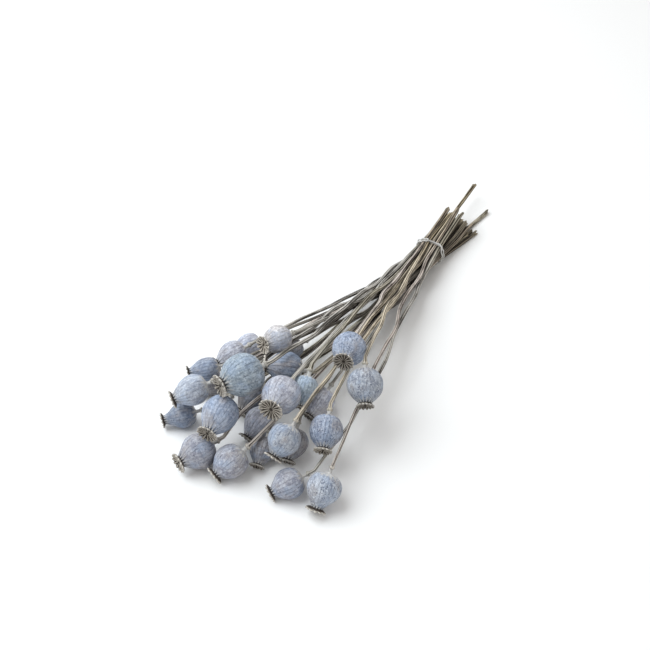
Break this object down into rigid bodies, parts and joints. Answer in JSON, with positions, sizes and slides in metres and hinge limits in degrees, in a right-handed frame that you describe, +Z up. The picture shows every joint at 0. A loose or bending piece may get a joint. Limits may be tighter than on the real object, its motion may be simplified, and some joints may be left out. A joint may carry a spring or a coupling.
{
  "type": "tied bunch of dried poppy seed heads",
  "caption": "Bunch of dried poppy seed heads on long cut stems, held by a thin elastic band and lying on a table; round capsules with flat rayed crowns.",
  "frame": {"origin": "on the table, under the middle of the bunch's bounding box", "axes": "+Y along the stems towards their cut ends, so the heads lie towards -Y; +Z up from the table; +X to the right seen from the heads' side with the cut ends away"},
  "size_m": [0.2006, 0.5396, 0.0901],
  "materials": {
    "capsule": "dry matt skin with a blue-grey waxy bloom",
    "stem": "dry matt bark, finely ribbed lengthwise",
    "band": "matt elastic"
  },
  "bodies": {
    "root": {"seed_head_01": "capsule", "stem_01": "stem", "seed_head_02": "capsule", "stem_02": "stem", "seed_head_03": "capsule", "stem_03": "stem", "seed_head_04": "capsule", "stem_04": "stem", "seed_head_05": "capsule", "stem_05": "stem", "seed_head_06": "capsule", "stem_06": "stem", "seed_head_07": "capsule", "stem_07": "stem", "seed_head_08": "capsule", "stem_08": "stem", "seed_head_09": "capsule", "stem_09": "stem", "seed_head_10": "capsule", "stem_10": "stem", "seed_head_11": "capsule", "stem_11": "stem", "seed_head_12": "capsule", "stem_12": "stem", "seed_head_13": "capsule", "stem_13": "stem", "seed_head_14": "capsule", "stem_14": "stem", "seed_head_15": "capsule", "stem_15": "stem", "seed_head_16": "capsule", "stem_16": "stem", "seed_head_17": "capsule", "stem_17": "stem", "seed_head_18": "capsule", "stem_18": "stem", "seed_head_19": "capsule", "stem_19": "stem", "seed_head_20": "capsule", "stem_20": "stem", "seed_head_21": "capsule", "stem_21": "stem", "seed_head_22": "capsule", "stem_22": "stem", "seed_head_23": "capsule", "stem_23": "stem", "seed_head_24": "capsule", "stem_24": "stem", "seed_head_25": "capsule", "stem_25": "stem", "seed_head_26": "capsule", "stem_26": "stem", "band": "band"}
  },
  "joints": []
}
